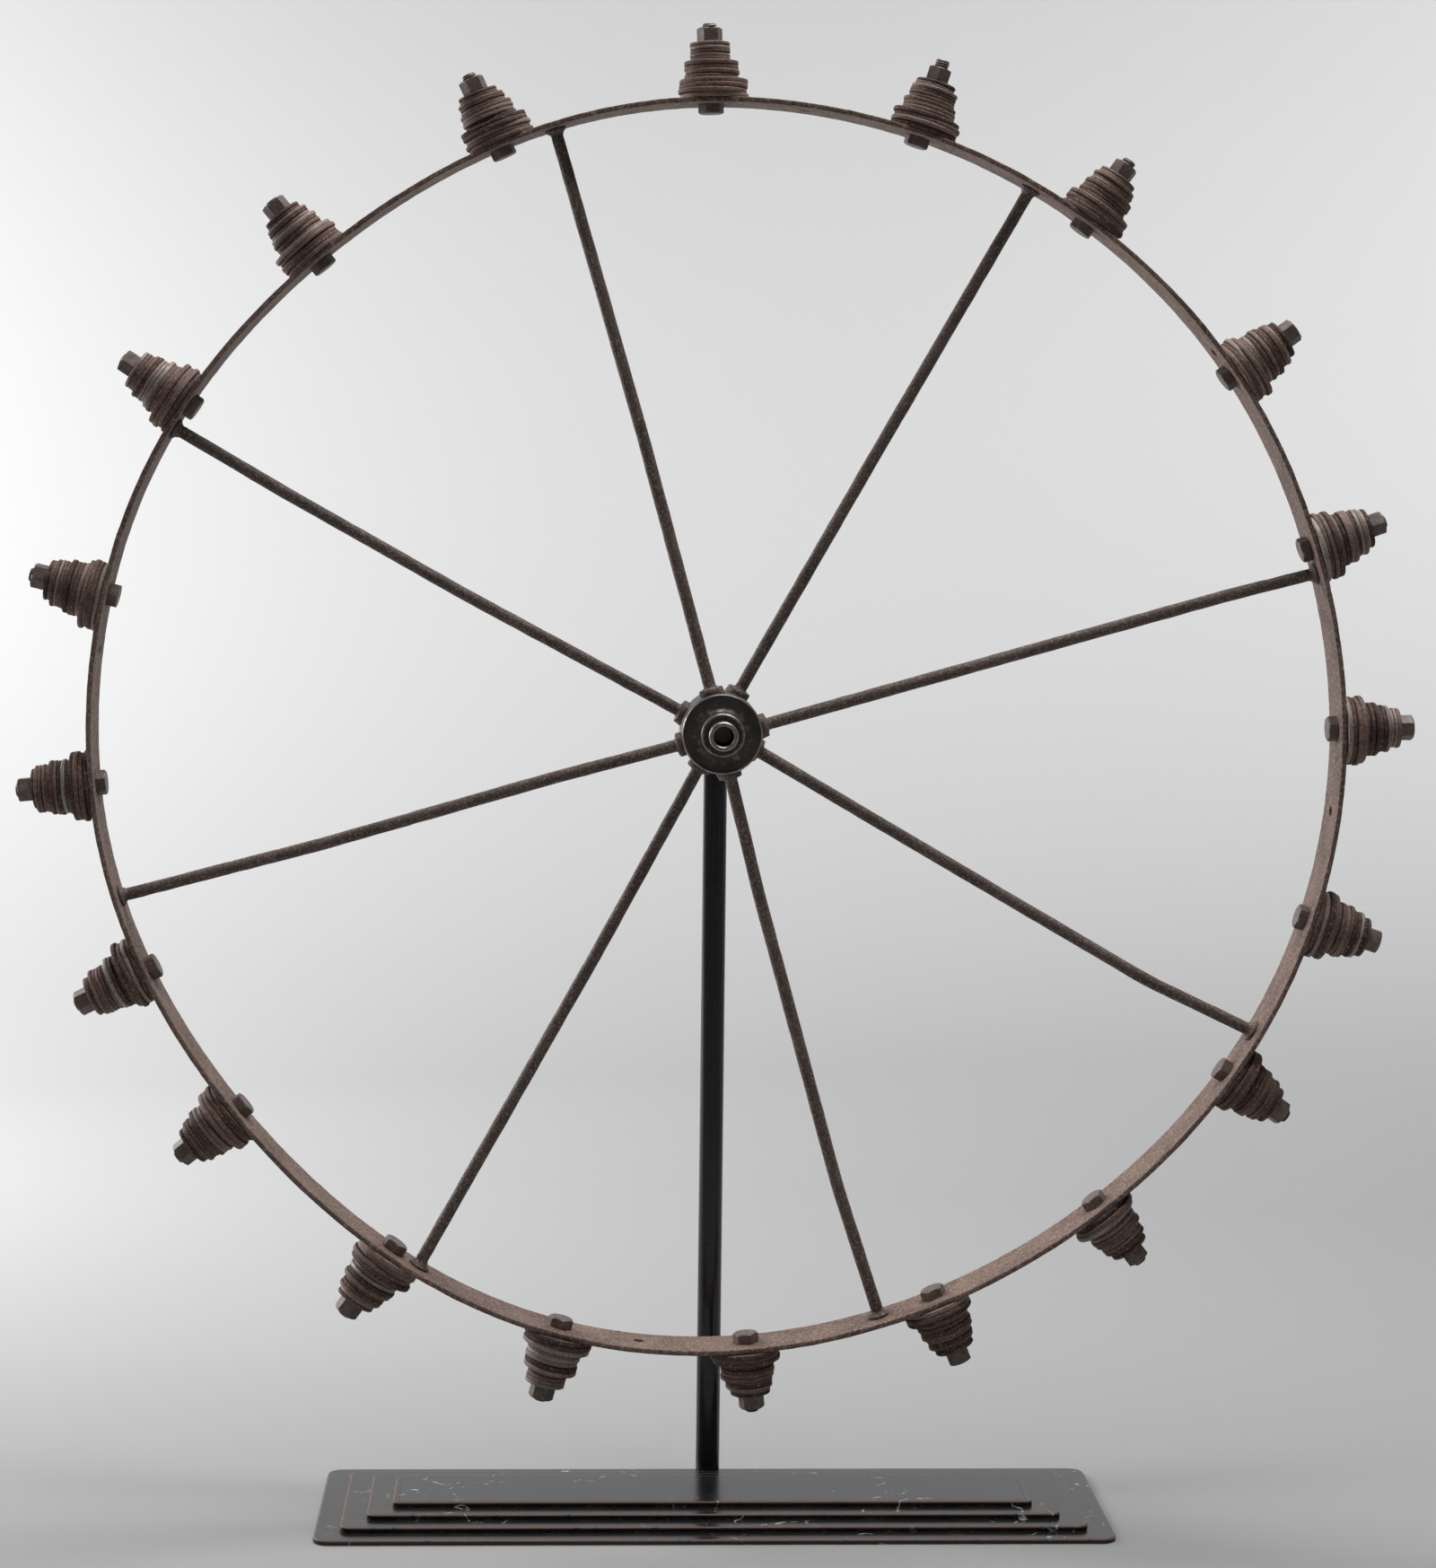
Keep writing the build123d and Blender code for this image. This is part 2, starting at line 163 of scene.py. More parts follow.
def unit(vector):
    return np.asarray(vector, float) / np.linalg.norm(vector)


def outward(angle):
    return np.array([sin(angle), 0.0, cos(angle)])


def across(axis):
    """Two directions at right angles to an axis and to each other."""
    first = unit(np.cross(axis, [0.0, 0.0, 1.0] if abs(axis[2]) < 0.9 else [1.0, 0.0, 0.0]))
    return first, np.cross(axis, first)


def lathe(radii, heights, around, centre, axis, first=None):
    """Rings round an axis, one for each radius and height."""
    one, two = across(axis) if first is None else (first, np.cross(axis, first))
    turns = np.linspace(0, 2 * pi, around, endpoint=False)
    circle = np.cos(turns)[:, None] * one + np.sin(turns)[:, None] * two
    radii, heights = np.asarray(radii, float), np.asarray(heights, float)
    if radii.ndim == 1:
        radii = radii[:, None] * np.ones(around)
    return centre + heights[:, None, None] * axis + radii[:, :, None] * circle


def corner_arc(across_at, height_at, radius, start, end, steps):
    """Points of a rounded edge in a profile, as (radius from the axis, height)."""
    turns = np.radians(np.linspace(start, end, steps))
    return [(across_at + radius * cos(t), height_at + radius * sin(t)) for t in turns]


def mesh_object(name, parts, sharp=SHARP_DEGREES):
    """One object from parts, each (rings, whether they join end to end, tone)."""
    verts, faces, tones = [], [], []
    first = 0
    for rings, looped, tone in parts:
        rings = np.asarray(rings)
        count, around = rings.shape[:2]
        rows = np.arange(count if looped else count - 1)[:, None]
        here, after = np.arange(around), np.roll(np.arange(around), -1)
        low, high = rows * around, (rows + 1) % count * around
        quads = np.stack([low + here, low + after, high + after, high + here], axis=-1)
        faces += (quads.reshape(-1, 4) + first).tolist()
        if not looped:
            faces.append((first + here[::-1]).tolist())
            faces.append((first + (count - 1) * around + here).tolist())
        verts.append(rings.reshape(-1, 3))
        tones.append(np.full(count * around, tone) if np.isscalar(tone) else np.ravel(tone))
        first += count * around
    mesh = bpy.data.meshes.new(name)
    mesh.from_pydata(np.concatenate(verts).tolist(), [], faces)
    attribute = mesh.attributes.new("tone", "FLOAT", "POINT")
    attribute.data.foreach_set("value", np.concatenate(tones).astype(np.float32))
    bm = bmesh.new()
    bm.from_mesh(mesh)
    bmesh.ops.recalc_face_normals(bm, faces=bm.faces[:])
    bm.to_mesh(mesh)
    bm.free()
    mesh.polygons.foreach_set("use_smooth", [True] * len(mesh.polygons))
    mesh.set_sharp_from_angle(angle=radians(sharp))
    obj = bpy.data.objects.new(name, mesh)
    bpy.context.scene.collection.objects.link(obj)
    return obj


def piece(obj, material, slot, body, *nodes):
    """Finishes a piece: its material, its body and the CAD nodes it stands for. The slot is not
    used.
    """
    obj.data.materials.append(material)
    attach(obj, body)
    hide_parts(*nodes)


def drill(obj, holes):
    """Cuts round holes, each (a point on the axis, its direction, radius, half length)."""
    parts = []
    for centre, axis, radius, half in holes:
        rings = lathe([radius, radius], [-half, half], 48, np.asarray(centre), np.asarray(axis))
        parts.append((rings, False, 0.0))
    cutter = mesh_object("cutter", parts)
    cut = obj.modifiers.new("holes", "BOOLEAN")
    cut.operation = "DIFFERENCE"
    cut.solver = "EXACT"
    cut.object = cutter
    graph = bpy.context.evaluated_depsgraph_get()
    mesh = bpy.data.meshes.new_from_object(obj.evaluated_get(graph))
    obj.modifiers.clear()
    obj.data = mesh
    mesh.set_sharp_from_angle(angle=radians(SHARP_DEGREES))
    bpy.data.objects.remove(cutter)


# --- reading the CAD nodes ---
def node_mesh(node):
    """A CAD node's vertices and edges, with doubled vertices joined."""
    bm = bmesh.new()
    bm.from_mesh(frame["nodes"][node].data)
    bmesh.ops.remove_doubles(bm, verts=bm.verts[:], dist=0.002 * MM)
    bm.verts.index_update()
    verts = np.array([v.co for v in bm.verts])
    edges = np.array([[v.index for v in e.verts] for e in bm.edges])
    bm.free()
    return verts, edges


def solids(node):
    """The vertices of each separate solid of a CAD node."""
    verts, edges = node_mesh(node)
    label = np.arange(len(verts))
    while True:
        low = np.minimum(label[edges[:, 0]], label[edges[:, 1]])
        settled = label.copy()
        np.minimum.at(settled, edges[:, 0], low)
        np.minimum.at(settled, edges[:, 1], low)
        settled = settled[settled]
        if (settled == label).all():
            break
        label = settled
    return [verts[label == n] for n in np.unique(label)]


def middle(points, *directions):
    """The centre of points' extent along each direction, kept in the frame's own axes."""
    return sum(((points @ d).max() + (points @ d).min()) / 2 * np.asarray(d) for d in directions)


def measure_washer(points):
    """A washer's seat centre, axis, inner and outer radius and thickness."""
    about = points.mean(axis=0)
    axis = np.linalg.svd(points - about)[2][2]
    axis = axis * np.sign(axis @ (about - CENTRE))
    one, two = across(axis)
    heights = points @ axis
    centre = middle(points, one, two) + heights.min() * axis
    radii = np.hypot((points - centre) @ one, (points - centre) @ two)
    return centre, axis, radii.min(), radii.max(), np.ptp(heights)


def measure_lugs():
    """Each lug's bolt axis, with the heights of the bolt's and the nut's ends along it."""
    bolts, nuts = solids("lug_bolts"), solids("lug_nuts")
    measured = []
    for bolt in sorted(bolts, key=lambda b: atan2(*(b.mean(axis=0) - CENTRE)[[0, 2]])):
        about = bolt.mean(axis=0)
        nut = min(nuts, key=lambda n: np.linalg.norm(n.mean(axis=0) - about))
        rough = unit(about - CENTRE)
        heights = bolt @ rough
        head = bolt[heights < heights.min() + 5.5 * MM].mean(axis=0)
        axis = unit(nut.mean(axis=0) - head)
        one, two = across(axis)
        corners = []
        for solid in (bolt, nut):
            flat = np.stack([(solid - head) @ one, (solid - head) @ two], axis=-1)
            reach = np.hypot(*flat.T)
            far = flat[reach > reach.max() - 0.1 * MM]
            corners.append(np.angle(np.exp(6j * np.arctan2(far[:, 1], far[:, 0])).sum()) / 6)
            size = reach.max()
        levels = [((s - head) @ axis) for s in (bolt, nut)]
        ends = [(level.min(), level.max()) for level in levels]
        measured.append((head, axis, one, corners, ends, size))
    return measured


def rim_shape():
    """The rim's outer radius at any angle, from a short wave series fitted to its front edge."""
    verts, _ = node_mesh("rim")
    low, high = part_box("rim")
    edge = verts[verts[:, 1] < low[1] + 0.01 * MM] - CENTRE
    angles, radii = np.arctan2(edge[:, 0], edge[:, 2]), np.hypot(edge[:, 0], edge[:, 2])

    def series(at):
        at = np.atleast_1d(at)
        return np.stack([f(n * at) for n in range(13) for f in (np.cos, np.sin)], axis=-1)

    mean = np.linalg.lstsq(series(angles), radii, rcond=None)[0]
    outer = radii > series(angles) @ mean
    waves = np.linalg.lstsq(series(angles[outer]), radii[outer], rcond=None)[0]
    inner = np.linalg.lstsq(series(angles[~outer]), radii[~outer], rcond=None)[0]
    return (lambda at: series(at) @ waves), (lambda at: series(at) @ inner), (low[1], high[1])


rim_outer, rim_inner, (RIM_FRONT, RIM_REAR) = rim_shape()


def rim_normal(angle):
    step = 0.001
    ahead = outward(angle + step) * rim_outer(angle + step)
    behind = outward(angle - step) * rim_outer(angle - step)
    along = unit(ahead - behind)
    return np.cross(along, AXIS)


def rim_holes():
    """Each hole in the rim, as (angle, radius), from the faces that stand across the band."""
    bm = bmesh.new()
    bm.from_mesh(frame["nodes"]["rim"].data)
    marks = []
    for face in bm.faces:
        about = np.array(face.calc_center_median()) - CENTRE
        radial = unit(about * [1, 0, 1])
        if abs(about[1]) < 0.4 * RIM_REAR and abs(radial @ np.array(face.normal)) < 0.5:
            marks += [np.array(v.co) - CENTRE for v in face.verts]
    bm.free()
    marks = np.array(marks)
    angles = np.arctan2(marks[:, 0], marks[:, 2])
    order = np.argsort(angles)
    angles, marks = angles[order], marks[order]
    groups = np.split(np.arange(len(angles)), np.where(np.diff(angles) > radians(1))[0] + 1)
    if angles[0] + 2 * pi - angles[-1] < radians(1):
        angles[groups[-1]] -= 2 * pi
        groups[0] = np.concatenate([groups.pop(), groups[0]])
    return [((angles[g].min() + angles[g].max()) / 2, np.abs(marks[g, 1]).max()) for g in groups]


# --- materials ---
class Shader:
    """A material with a few short ways to add its nodes."""

    def __init__(self, name):
        self.material = bpy.data.materials.new(name)
        self.material.use_nodes = True
        self.tree = self.material.node_tree
        self.bsdf = self.tree.nodes["Principled BSDF"]
        self.place = self.add("ShaderNodeTexCoord").outputs["Object"]

    def add(self, kind, **settings):
        made = self.tree.nodes.new(kind)
        for key, value in settings.items():
            setattr(made, key, value)
        return made

    def feed(self, socket, value):
        if isinstance(value, bpy.types.NodeSocket):
            self.tree.links.new(value, socket)
        else:
            socket.default_value = value

    def noise(self, size, detail=4.0, rough=0.6, stretch=None):
        """Cloudy noise, one cloud about every size."""
        made = self.add("ShaderNodeTexNoise")
        place = self.place
        if stretch:
            scaled = self.add("ShaderNodeMapping")
            scaled.inputs["Scale"].default_value = stretch
            self.feed(scaled.inputs["Vector"], place)
            place = scaled.outputs["Vector"]
        self.feed(made.inputs["Vector"], place)
        made.inputs["Scale"].default_value = 1 / size
        made.inputs["Detail"].default_value = detail
        made.inputs["Roughness"].default_value = rough
        return made.outputs["Fac"]

    def ramp(self, value, *stops):
        """Colours, or greys from single numbers, at places along a value."""
        made = self.add("ShaderNodeValToRGB")
        elements = made.color_ramp.elements
        while len(elements) < len(stops):
            elements.new(0.5)
        for element, (at, colour) in zip(elements, stops):
            element.position = at
            element.color = (*colour, 1) if hasattr(colour, "__len__") else (colour,) * 3 + (1,)
        self.feed(made.inputs["Fac"], value)
        return made.outputs["Color"]

    def mix(self, share, one, two, way="MIX"):
        made = self.add("ShaderNodeMix", data_type="RGBA", blend_type=way)
        sockets = [s for s in made.inputs if s.enabled]
        for socket, value in zip(sockets, (share, one, two)):
            if isinstance(value, tuple) and len(value) == 3:
                value = (*value, 1)
            self.feed(socket, value)
        return next(s for s in made.outputs if s.enabled)

    def sum(self, one, two, way="ADD"):
        made = self.add("ShaderNodeMath", operation=way)
        self.feed(made.inputs[0], one)
        self.feed(made.inputs[1], two)
        return made.outputs["Value"]

    def attribute(self, name):
        return self.add("ShaderNodeAttribute", attribute_name=name).outputs["Fac"]

    def bump(self, *layers):
        """Layers of (height, depth in metres), rounding the surface's normal."""
        normal = None
        for height, depth in layers:
            made = self.add("ShaderNodeBump")
            made.inputs["Distance"].default_value = depth
            self.feed(made.inputs["Height"], height)
            if normal:
                self.feed(made.inputs["Normal"], normal)
            normal = made.outputs["Normal"]
        self.feed(self.bsdf.inputs["Normal"], normal)

    def finish(self, colour, roughness, metallic=None):
        self.feed(self.bsdf.inputs["Base Color"], colour)
        self.feed(self.bsdf.inputs["Roughness"], roughness)
        if metallic is not None:
            self.feed(self.bsdf.inputs["Metallic"], metallic)
        return self.material


# Old rust in four colours: dark patches, the main colour, light grains and fresh spots.
RIM_RUST = (0.105, 0.062, 0.047), (0.215, 0.139, 0.108), (0.42, 0.30, 0.24), (0.23, 0.115, 0.068)
SPOKE_RUST = (0.070, 0.048, 0.042), (0.130, 0.092, 0.078), (0.34, 0.26, 0.21), (0.17, 0.095, 0.062)


def rust(name, dark, mid, light, spots, grain, depth):
    """Old rust: patches of dark and mid, light grains, spots of fresh rust and small pits."""
    s = Shader(name)
    patches = s.noise(30 * MM, detail=7, rough=0.6)
    grains = s.noise(grain, detail=5, rough=0.7)
    flecks = s.noise(1.1 * MM, detail=3, rough=0.6)
    colour = s.mix(s.ramp(patches, (0.34, 0.0), (0.66, 1.0)), dark, mid)
    colour = s.mix(s.ramp(grains, (0.5, 0.0), (0.66, 0.9)), colour, light)
    colour = s.mix(s.ramp(s.noise(7 * MM, 5, 0.7), (0.6, 0.0), (0.74, 0.7)), colour, spots)
    pits = s.ramp(flecks, (0.36, 0.1), (0.46, 1.0))
    colour = s.mix(0.6, colour, pits, "MULTIPLY")
    s.bump((s.noise(5 * MM, 4), 3 * depth), (grains, 1.5 * depth), (flecks, 0.7 * depth))
    return s.finish(colour, s.ramp(grains, (0.3, 0.85), (0.7, 0.55)))


def washer_metal():
    """Washers of several ages: the tone attribute runs from dark rust to dull zinc."""
    s = Shader("washer_metal")
    tone = s.attribute("tone")
    patches = s.noise(8 * MM, detail=6, rough=0.7)
    grains = s.noise(1.7 * MM, detail=5, rough=0.7)
    age = s.sum(s.sum(tone, 0.75, "MULTIPLY"), s.sum(patches, 0.4, "MULTIPLY"))
    colour = s.ramp(
        age,
        (0.20, (0.045, 0.026, 0.022)),
        (0.38, (0.122, 0.064, 0.048)),
        (0.56, (0.195, 0.118, 0.092)),
        (0.76, (0.275, 0.200, 0.165)),
        (0.98, (0.350, 0.330, 0.285)),
    )
    fresh = s.ramp(s.noise(5 * MM, 5, 0.75), (0.58, 0.0), (0.70, 0.8))
    colour = s.mix(fresh, colour, (0.250, 0.098, 0.046))
    colour = s.mix(s.ramp(grains, (0.53, 0.0), (0.68, 0.65)), colour, (0.42, 0.34, 0.30))
    pits = s.ramp(s.noise(1.2 * MM, 3), (0.34, 0.1), (0.46, 1.0))
    colour = s.mix(0.85, colour, pits, "MULTIPLY")
    s.bump((s.noise(3.5 * MM, 4), 0.22 * MM), (grains, 0.12 * MM))
    metallic = s.ramp(age, (0.6, 0.0), (0.95, 0.25))
    return s.finish(colour, s.ramp(age, (0.2, 0.85), (0.9, 0.55)), metallic)


def fastener_metal():
    """Brown bolts and nuts, cloudy patches of them paler and more metallic, like rubbed steel."""
    s = Shader("fastener_metal")
    cloud = s.noise(6 * MM, detail=5, rough=0.65)
    grains = s.noise(0.9 * MM, detail=4, rough=0.7)
    paler = s.ramp(cloud, (0.36, 0.0), (0.62, 1.0))
    colour = s.mix(paler, (0.080, 0.055, 0.047), (0.185, 0.140, 0.122))
    colour = s.mix(s.ramp(grains, (0.52, 0.0), (0.68, 0.8)), colour, (0.30, 0.26, 0.24))
    fresh = s.ramp(s.noise(3 * MM, 4, 0.7), (0.62, 0.0), (0.72, 0.6))
    colour = s.mix(fresh, colour, (0.17, 0.075, 0.035))
    s.bump((s.noise(2.5 * MM, 3), 0.12 * MM), (grains, 0.05 * MM))
    metallic = s.ramp(cloud, (0.4, 0.05), (0.65, 0.5))
    return s.finish(colour, s.ramp(grains, (0.3, 0.6), (0.7, 0.42)), metallic)


def hub_iron():
    """Dark handled casting. Where tone is high the iron is painted bright: partly rubbed wear,
    partly a painted highlight along its edges.
    """
    s = Shader("hub_iron")
    cloud = s.noise(12 * MM, detail=6, rough=0.65)
    grains = s.noise(0.9 * MM, detail=4, rough=0.7)
    paler = s.ramp(cloud, (0.35, 0.0), (0.65, 1.0))
    colour = s.mix(paler, (0.034, 0.028, 0.025), (0.064, 0.053, 0.047))
    colour = s.mix(s.ramp(grains, (0.6, 0.0), (0.75, 0.35)), colour, (0.10, 0.090, 0.075))
    scuffs = s.noise(3.5 * MM, detail=4, rough=0.6)
    wear_and_highlight_at = s.sum(s.attribute("tone"), s.sum(scuffs, 0.9, "MULTIPLY"))
    # worn is the share painted bright: partly rubbed wear, partly painted highlight on the hub's
    # lip, fillet and nose and the bushing's chamfers.
    worn = s.ramp(wear_and_highlight_at, (0.62, 0.0), (1.2, 1.0))
    colour = s.mix(worn, colour, (0.36, 0.34, 0.31))
    s.bump((s.noise(5 * MM, 3), 0.12 * MM), (grains, 0.035 * MM))
    metallic = s.ramp(worn, (0.0, 0.3), (1.0, 0.85))
    return s.finish(colour, s.ramp(worn, (0.0, 0.46), (1.0, 0.36)), metallic)


def black_paint(name, matt, ripple, scratched):
    """Semi-gloss black with brown-edged chips, bright nicks, thin scratches and a little dust."""
    s = Shader(name)
    dust = s.noise(1.0 * MM, detail=5, rough=0.75)
    smears = s.noise(40 * MM, detail=6, rough=0.7)
    dull = s.ramp(smears, (0.45, 0.0), (0.75, 1.0))
    colour = s.mix(dull, (0.010, 0.010, 0.011), (0.022, 0.021, 0.022))
    edge = s.sum(s.attribute("tone"), s.sum(s.noise(7 * MM, 6, 0.75), 0.9, "MULTIPLY"))
    chipped = s.ramp(edge, (0.92, 0.0), (1.10, 1.0))
    colour = s.mix(chipped, colour, (0.15, 0.095, 0.065))
    bare = s.sum(s.attribute("tone"), s.sum(s.noise(4 * MM, 6, 0.8), 1.0, "MULTIPLY"))
    colour = s.mix(s.ramp(bare, (1.13, 0.0), (1.19, 1.0)), colour, (0.62, 0.60, 0.56))
    where = s.ramp(s.noise(75 * MM, 2, 0.5), (0.50, 0.0), (0.60, 1.0))
    curls = s.ramp(s.noise(30 * MM, 1.5, 0.5), (0.488, 0.0), (0.5, 1.0), (0.512, 0.0))
    broken = s.ramp(s.noise(8 * MM, 5, 0.7), (0.52, 0.0), (0.56, 1.0))
    scratches = s.mix(1.0, s.mix(1.0, curls, broken, "MULTIPLY"), where, "MULTIPLY")
    nicks = s.mix(1.0, s.ramp(s.noise(4 * MM, 7, 0.8), (0.67, 0.0), (0.69, 1.0)), where, "MULTIPLY")
    if scratched:
        colour = s.mix(s.mix(1.0, nicks, scratches, "LIGHTEN"), colour, (0.60, 0.60, 0.58))
    colour = s.mix(s.ramp(dust, (0.66, 0.0), (0.8, 0.3)), colour, (0.20, 0.19, 0.18))
    s.bump((s.noise(30 * MM, 3, 0.5), ripple), (s.noise(2.5 * MM, 3), 0.1 * ripple))
    s.bsdf.inputs["Specular IOR Level"].default_value = 0.38
    s.bsdf.inputs["Coat Weight"].default_value = 0.1
    s.bsdf.inputs["Coat Roughness"].default_value = 0.08
    gloss = s.ramp(smears, (0.3, matt), (0.75, 1.25 * matt))
    return s.finish(colour, s.mix(chipped, gloss, (0.6, 0.6, 0.6)))


def turned_steel():
    """Plain steel with faint turning marks."""
    s = Shader("turned_steel")
    grains = s.noise(0.8 * MM, detail=4, rough=0.7)
    colour = s.ramp(grains, (0.3, (0.10, 0.085, 0.075)), (0.7, (0.26, 0.24, 0.22)))
    s.bump((s.noise(0.5 * MM, 2, stretch=(1, 6, 1)), 0.04 * MM))
    metallic = s.ramp(grains, (0.3, 0.6), (0.7, 0.95))
    return s.finish(colour, s.ramp(grains, (0.3, 0.55), (0.7, 0.35)), metallic)


# --- washer stacks ---
WASHER_AROUND = 60
ZINC_SHARE = 0.22


def washer(points, rng):
    centre, axis, inner, outer, thick = measure_washer(points)
    edge = rng.uniform(0.6, 1.0) * MM
    burr = 0.55 * MM
    outline = corner_arc(outer - edge, thick - edge, edge, 90, 0, 4)
    outline += corner_arc(outer - burr, burr, burr, 0, -90, 3)
    outline += [((outer + inner) / 2, 0.0)]
    outline += corner_arc(inner + burr, burr, burr, -90, -180, 2)
    outline += corner_arc(inner + edge, thick - edge, edge, 180, 90, 3)
    outline += [((outer + inner) / 2, thick)]
    radii, heights = np.array(outline).T
    tilt = rng.normal(0, 0.12 * MM, 2) / outer
    rings = lathe(radii, heights, WASHER_AROUND, centre, axis)
    one, two = across(axis)
    flat = rings - centre
    rings = rings + ((flat @ one) * tilt[0] + (flat @ two) * tilt[1])[..., None] * axis
    radial = flat - (flat @ axis)[..., None] * axis
    wobble = 0.16 * MM * lumps(rings, 5 * MM, 1) + 0.09 * MM * lumps(rings, 1.6 * MM, 2)
    rings = rings + radial / outer * wobble[..., None]
    rings = rings + axis * (0.06 * MM * lumps(rings, 3 * MM, 3))[..., None]
    tone = rng.uniform(0.55, 1.0) if rng.random() < ZINC_SHARE else rng.uniform(0.0, 0.55)
    return rings, True, tone


def make_washers(material):
    for number in range(1, 21):
        rng = np.random.default_rng(300 + number)
        node = f"washer_stack_{number:02d}"
        parts = [washer(points, rng) for points in solids(node)]
        cone = mesh_object(f"washer_cone_{number:02d}", parts)
        piece(cone, material, "washer_steel", WHEEL, node)


# --- bolts and nuts ---
HEX_AROUND = 96
THREAD_PITCH = 1.5875 * MM
THREAD_DEPTH = 0.75 * MM
THREAD_SHOWN = 7.5 * MM
BOLT_RADIUS = 4.75 * MM
HEAD_THICK = 6.0 * MM


def hexagon(turns, corner, corner_radius):
    """Distance from the axis to a hexagon with worn corners, at angles from one corner."""
    from_flat = np.abs((turns + pi / 6) % (pi / 3) - pi / 6)
    flats = corner * cos(pi / 6) / np.cos(pi / 6 - from_flat)
    return np.minimum(flats, corner_radius)


def hex_rings(base, axis, one, corner, turn, levels, chamfered, inner):
    """Rings of a hexagonal bar between two levels, its chamfered ends rounded to a circle."""
    low, high = levels
    heights = np.linspace(low, high, 15)
    turns = np.linspace(0, 2 * pi, HEX_AROUND, endpoint=False)
    across_flats = corner * cos(pi / 6)
    radii = []
    for height in heights:
        radius = hexagon(turns - turn, corner, 0.992 * corner)
        for end, used in ((low, chamfered[0]), (high, chamfered[1])):
            if used:
                cone = across_flats * 0.98 + abs(height - end) / tan(radians(30))
                radius = np.minimum(radius, cone)
        radii.append(radius)
    caps = [inner, 0.55 * (inner + across_flats)]
    flat = np.ones(HEX_AROUND)
    radii = [caps[0] * flat, caps[1] * flat, *radii, caps[1] * flat, caps[0] * flat]
    heights = [low, low, *heights, high, high]
    rings = lathe(radii, heights, HEX_AROUND, base, axis, one)
    radial = rings - base
    radial = radial - (radial @ axis)[..., None] * axis
    wear = 0.07 * MM * lumps(rings, 3 * MM, 4) + 0.03 * MM * lumps(rings, 1.1 * MM, 5)
    return rings + radial / corner * wear[..., None]


def thread_rings(base, axis, one, low, high, radius):
    """A bolt's screwed end, its thread a true helix, closed by a worn chamfer."""
    steps = int((high - low) / THREAD_PITCH * 8) + 2
    heights = np.linspace(low, high, steps)
    turns = np.linspace(0, 2 * pi, 40, endpoint=False)
    phase = (heights[:, None] / THREAD_PITCH - turns / (2 * pi)) % 1
    radii = radius - THREAD_DEPTH * (1 - np.abs(2 * phase - 1))
    taper = radius - 0.9 * MM + (high - heights)[:, None] * 0.8
    radii = np.minimum(radii, taper)
    radii = np.concatenate([radii, radii[-1:] * 0.45, radii[-1:] * 0.02])
    heights = np.concatenate([heights, [high - 0.1 * MM, high - 0.15 * MM]])
    return lathe(radii, heights, 40, base, axis, one)


def make_fasteners(material):
    bolt_parts, nut_parts = [], []
    for head, axis, one, corners, ends, corner in measure_lugs():
        (bolt_low, bolt_high), (nut_low, nut_high) = ends
        head_high = bolt_low + HEAD_THICK
        rings = hex_rings(
            head, axis, one, corner, corners[0], (bolt_low, head_high), (True, False), 0.05 * MM
        )
        bolt_parts.append((rings, False, 0.4))
        thread_low = bolt_high - THREAD_SHOWN
        heights = [head_high - 0.2 * MM, thread_low + 0.1 * MM]
        shank = lathe([BOLT_RADIUS] * 2, heights, 40, head, axis, one)
        bolt_parts.append((shank, False, 0.4))
        thread = thread_rings(head, axis, one, thread_low, bolt_high, BOLT_RADIUS)
        bolt_parts.append((thread, False, 0.4))
        levels = (nut_low, nut_high)
        bore = BOLT_RADIUS + 0.08 * MM
        rings = hex_rings(head, axis, one, corner, corners[1], levels, (True, True), bore)
        nut_parts.append((rings, True, 0.4))
    piece(mesh_object("worn_lug_bolts", bolt_parts), material, "fastener_steel", WHEEL, "lug_bolts")
    piece(mesh_object("worn_lug_nuts", nut_parts), material, "fastener_steel", WHEEL, "lug_nuts")


# --- rim ---
RIM_AROUND = 1260


def make_rim(material):
    angles = np.linspace(0, 2 * pi, RIM_AROUND, endpoint=False)
    directions = np.stack([np.sin(angles), np.zeros(RIM_AROUND), np.cos(angles)], axis=-1)
    outer, inner = rim_outer(angles), rim_inner(angles)
    edge = 0.55 * MM
    near, far = RIM_FRONT + edge, RIM_REAR - edge
    widths = np.linspace(near, far, 11)
    bends = np.radians([25, 50, 75])
    profile = [(1.0, 0.0, y) for y in widths]
    profile += [(1.0, edge * (cos(b) - 1), far + edge * sin(b)) for b in bends]
    profile += [(0.0, edge * (1 - cos(b)), far + edge * sin(b)) for b in bends[::-1]]
    profile += [(0.0, 0.0, y) for y in widths[::-1]]
    profile += [(0.0, edge * (1 - cos(b)), near - edge * sin(b)) for b in bends]
    profile += [(1.0, edge * (cos(b) - 1), near - edge * sin(b)) for b in bends[::-1]]
    rings = []
    for share, inset, y in profile:
        radii = inner + (outer - inner) * share + inset
        rings.append(CENTRE + directions * radii[:, None] + AXIS * y)
    rings = np.array(rings)
    radial = np.broadcast_to(directions, rings.shape)
    rough = 0.14 * MM * lumps(rings, 7 * MM, 6) + 0.07 * MM * lumps(rings, 2.4 * MM, 7)
    at_edge = np.clip((np.abs(rings[..., 1]) - (far - 2 * MM)) / (2 * MM), 0, 1)
    nibble = 0.3 * MM * np.minimum(lumps(rings, 9 * MM, 8), 0)
    nibble += 0.12 * MM * lumps(rings, 2.5 * MM, 9)
    rings = rings + radial * rough[..., None]
    rings = rings + AXIS * (np.sign(rings[..., 1]) * at_edge * nibble)[..., None]
    band = mesh_object("rim_band", [(rings, True, 0.0)])
    holes = []
    for angle, radius in rim_holes():
        at = CENTRE + outward(angle) * float(rim_outer(angle)[0])
        holes.append((at, rim_normal(angle), radius, 12 * MM))
    drill(band, holes)
    piece(band, material, "rim_iron", WHEEL, "rim")


